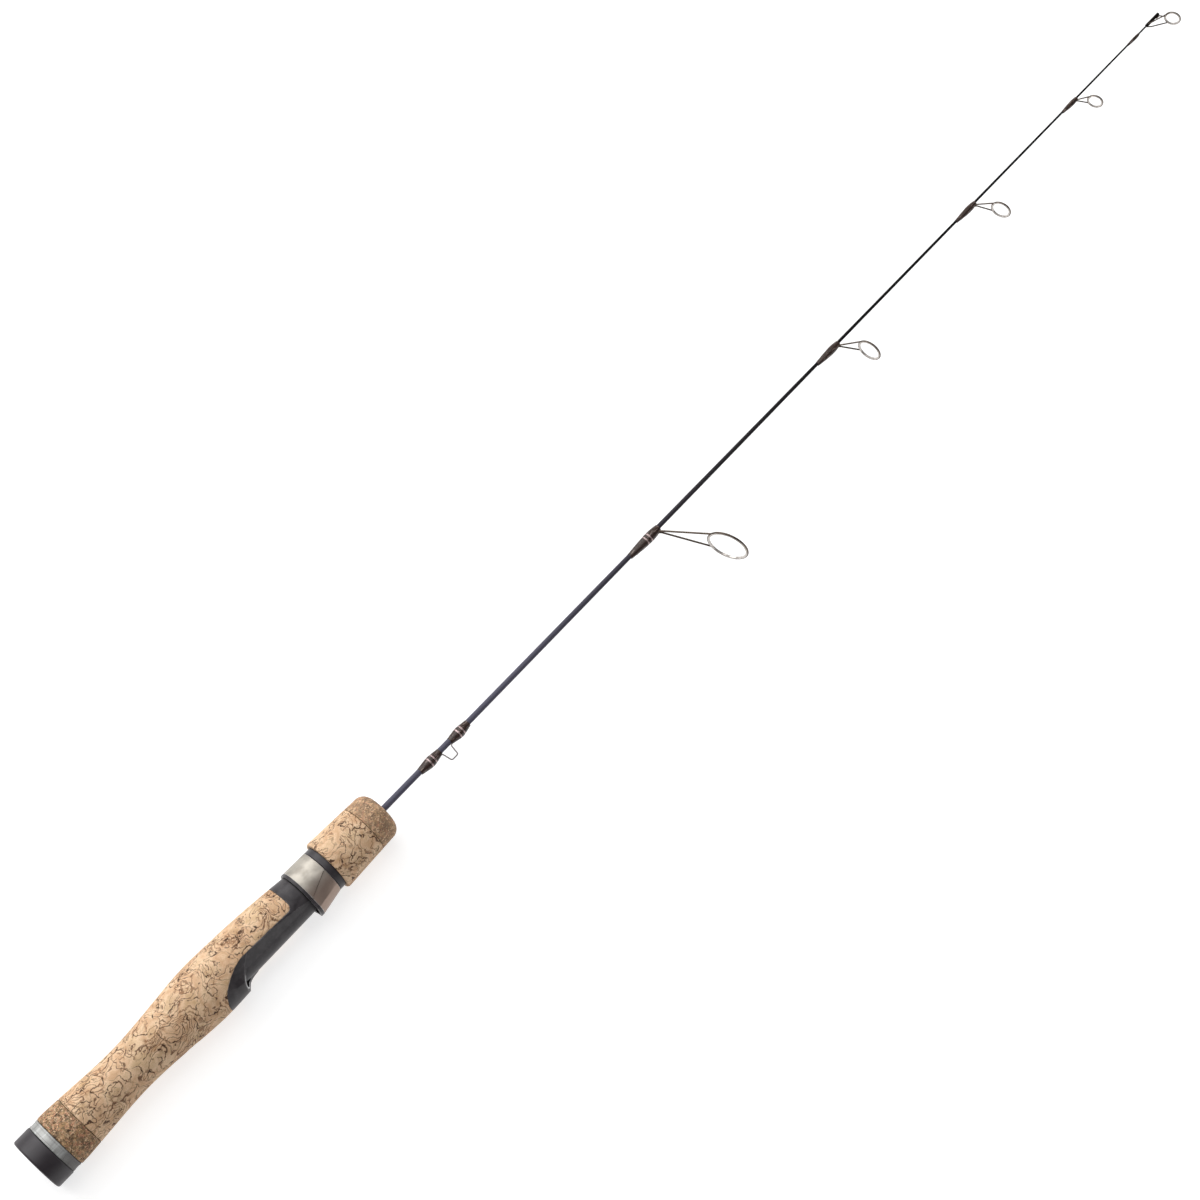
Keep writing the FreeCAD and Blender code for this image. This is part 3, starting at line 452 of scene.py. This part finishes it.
def all_finishes():
    return {
        "butt_rubber": moulded("butt_rubber", srgb(47, 42, 46), srgb(96, 90, 94), 0.44, 7.0, 0.03,
                               shine=0.42),
        "trim_aluminium": turned_aluminium(),
        "rubber_cork": rubber_cork(),
        "burl_cork": burl_cork(),
        # its near-white edge colour is mostly a painted highlight along its edges, partly wear
        "seat_plastic": moulded("seat_plastic", srgb(48, 44, 47), srgb(190, 186, 186), 0.42,
                                wear_and_highlight=0.7),
        "insert_steel": drawn_wire("insert_steel", srgb(206, 206, 208), 0.16),
        "arbor_composite": moulded("arbor_composite", srgb(70, 66, 60), srgb(110, 104, 96), 0.6),
        "carbon_blank": blank_paint(),
        "keeper_wire": drawn_wire("keeper_wire", srgb(128, 122, 122), 0.22),
        "hood_metal": hood_metal(),
        # its near-white edge colour is mostly a painted highlight along its rims, partly wear
        "liner_plastic": moulded("liner_plastic", srgb(44, 40, 44), srgb(206, 202, 204), 0.34,
                                 edge=0.2, wear_and_highlight=0.6),
        "nut_plastic": moulded("nut_plastic", srgb(56, 53, 56), srgb(110, 106, 108), 0.36,
                               edge=0.2),
        "bushing_plastic": moulded("bushing_plastic", srgb(14, 13, 14), srgb(50, 48, 48), 0.4,
                                   edge=0.15),
        "thread_wrap": wound_thread("thread_wrap", srgb(12, 8, 7), srgb(84, 62, 54), 0.0, 0.4),
        "trim_thread": wound_thread("trim_thread", srgb(140, 118, 118), srgb(214, 192, 190), 0.6,
                                    0.3),
        "guide_wire": drawn_wire("guide_wire", srgb(92, 80, 70), 0.22),
        "guide_ring": ring_ceramic(),
        "tip_tube_steel": drawn_wire("tip_tube_steel", srgb(34, 31, 30), 0.28),
    }


def finish_nodes():
    """Gives each CAD node the finish of its slot in the record, and carves the cork."""
    finishes = all_finishes()
    for part in frame["record"]["subparts"]:
        finish = finishes[part["material_slot"]]
        NODES[part["node"]].material_slots[0].material = finish
        if part["node"] in CARVED:
            carve(part["node"], part, finish)


# ---- carved cork --------------------------------------------------------------------------------
def carving(granular):
    """A modifier that sinks the pits, veins and grain boundaries of cork into its surface."""
    group = bpy.data.node_groups.new("carving", "GeometryNodeTree")
    group.interface.new_socket("Geometry", in_out="INPUT", socket_type="NodeSocketGeometry")
    group.interface.new_socket("Geometry", in_out="OUTPUT", socket_type="NodeSocketGeometry")
    tree = Tree(group)
    surface = tree.node("NodeGroupInput").outputs[0]
    place = tree.vector("SCALE", tree.node("GeometryNodeInputPosition").outputs[0], scale=1 / MM)
    grain = tree.math("MULTIPLY", tree.noise(place, 1.4, 2.0), GRAIN_DEPTH)
    if granular:
        bent = granule_place(tree, place)
        gaps = tree.cells(bent, GRANULES, "DISTANCE_TO_EDGE")["Distance"]
        proud = tree.split(tree.cells(bent, GRANULES)["Color"])[2]
        depth = tree.math("ADD", tree.remap(gaps, 0.14, 0.02, 0.0, GAP_DEPTH),
                          tree.math("MULTIPLY", proud, GRANULE_DEPTH))
    else:
        loops, _, nested, veins, pits, _ = cork_pattern(tree, place)
        depth = tree.math("ADD", tree.math("MULTIPLY", pits, PIT_DEPTH),
                          tree.math("MULTIPLY", veins, VEIN_DEPTH))
        depth = tree.math("ADD", depth, tree.math("MULTIPLY", loops, LOOP_DEPTH))
        depth = tree.math("ADD", depth, tree.math("MULTIPLY", nested, NESTED_DEPTH))
    depth = tree.math("ADD", depth, grain)
    normal = tree.node("GeometryNodeInputNormal").outputs[0]
    inward = tree.vector("SCALE", normal, scale=tree.math("MULTIPLY", depth, -MM))
    moved = tree.node("GeometryNodeSetPosition", {"Geometry": surface, "Offset": inward})
    output = tree.node("NodeGroupOutput")
    group.links.new(moved.outputs[0], output.inputs[0])
    return group


def carve(name, part, finish):
    """A finely meshed copy of a cork piece, with the cork's relief in its mesh."""
    piece = bpy.data.objects.new("carved_" + name, NODES[name].data.copy())
    bpy.context.scene.collection.objects.link(piece)
    remesh = piece.modifiers.new("remesh", "REMESH")
    remesh.mode = "VOXEL"
    remesh.voxel_size = CARVING_MESH * MM
    settle = piece.modifiers.new("settle", "SMOOTH")
    settle.factor = 0.5
    settle.iterations = 3
    relief = piece.modifiers.new("relief", "NODES")
    relief.node_group = carving(part["material_slot"] == "rubber_cork")
    evaluated = piece.evaluated_get(bpy.context.evaluated_depsgraph_get())
    mesh = bpy.data.meshes.new_from_object(evaluated)
    piece.modifiers.clear()
    piece.data = mesh
    mesh.materials.clear()
    mesh.materials.append(finish)
    mesh.shade_smooth()
    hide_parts(name)
    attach(piece, body_of(NODES[name])[0])
    return piece


# ---- studio -------------------------------------------------------------------------------------
def camera():
    """The view from above and behind the handle, with the rod across the frame's diagonal."""
    place = Vector((37.4, -316.2, 755.6)) * MM
    ahead = Vector((0.33133, 0.35988, -0.87219)).normalized()
    right = Vector((0.65736, -0.75116, -0.06022))
    right = (right - ahead * right.dot(ahead)).normalized()
    up = right.cross(ahead)
    turn = Matrix((right, up, -ahead)).transposed().to_4x4()
    data = bpy.data.cameras.new("camera")
    data.lens = 59.4
    data.sensor_width = 36.0
    data.clip_start = 0.01
    data.clip_end = 20.0
    holder = bpy.data.objects.new("camera", data)
    bpy.context.scene.collection.objects.link(holder)
    holder.matrix_world = Matrix.Translation(place) @ turn
    bpy.context.scene.camera = holder


def softbox(name, place, size, power):
    """A rectangular light at a place, aimed at the rod's middle."""
    data = bpy.data.lights.new(name, "AREA")
    data.shape = "RECTANGLE"
    data.size, data.size_y = size
    data.energy = power
    holder = bpy.data.objects.new(name, data)
    bpy.context.scene.collection.objects.link(holder)
    holder.location = place
    holder.rotation_euler = (Vector(MIDDLE) - Vector(place)).to_track_quat("-Z", "Y").to_euler()


def soft_sky():
    """A sky that is brightest above the rod's back and dark on the side of its guides."""
    world = bpy.data.worlds.new("studio")
    bpy.context.scene.world = world
    world.use_nodes = True
    sky = Tree(world.node_tree)
    direction = sky.node("ShaderNodeTexCoord").outputs["Generated"]
    toward = sky.vector("DOT_PRODUCT", direction, (0.0, 0.78, 0.62))
    shade = sky.ramp(sky.remap(toward, -0.5, 1.0), [(0.0, (0.05, 0.05, 0.055, 1.0)),
                                                    (0.5, (0.3, 0.3, 0.31, 1.0)),
                                                    (1.0, (1.0, 1.0, 1.0, 1.0))])
    background = world.node_tree.nodes["Background"]
    sky.feed(background.inputs["Color"], shade)
    background.inputs["Strength"].default_value = 0.6


def floor():
    """White paper that the rod lies on."""
    half = STUDIO_SIZE
    mesh = bpy.data.meshes.new("floor")
    mesh.from_pydata([(-half, -half, 0), (half, -half, 0), (half, half, 0), (-half, half, 0)], [],
                     [(0, 1, 2, 3)])
    sheet = bpy.data.objects.new("floor", mesh)
    sheet.location = (MIDDLE[0], MIDDLE[1], min(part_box(name)[0][2] for name in NODES))
    bpy.context.scene.collection.objects.link(sheet)
    paper = Finish("paper", Base_Color=(0.42, 0.42, 0.42, 1.0), Roughness=0.9,
                   Specular_IOR_Level=0.1, Emission_Color=(1.0, 1.0, 1.0, 1.0),
                   Emission_Strength=0.74)
    paper.bump(paper.noise(paper.place, 0.8, 3.0), 0.05, 0.05)
    mesh.materials.append(paper.material)


def backdrop():
    """A pale dome round the floor, which the camera sees and the light passes through."""
    form = bmesh.new()
    bmesh.ops.create_uvsphere(form, u_segments=64, v_segments=32, radius=STUDIO_SIZE)
    mesh = bpy.data.meshes.new("backdrop")
    form.to_mesh(mesh)
    form.free()
    dome = bpy.data.objects.new("backdrop", mesh)
    dome.location = MIDDLE
    dome.visible_diffuse = False
    dome.visible_glossy = False
    dome.visible_transmission = False
    dome.visible_shadow = False
    bpy.context.scene.collection.objects.link(dome)
    glow = Finish("backdrop", Base_Color=(0.0, 0.0, 0.0, 1.0), Roughness=1.0,
                  Specular_IOR_Level=0.0, Emission_Color=(1.0, 1.0, 1.0, 1.0),
                  Emission_Strength=0.86)
    mesh.materials.append(glow.material)


def studio():
    softbox("key", (0.20, 1.0, 0.95), (1.6, 0.9), 14.0)
    softbox("overhead", (0.40, 0.1, 1.4), (1.8, 0.9), 9.0)
    soft_sky()
    floor()
    backdrop()
    bpy.context.scene.view_settings.view_transform = "Standard"


camera()
studio()
finish_nodes()
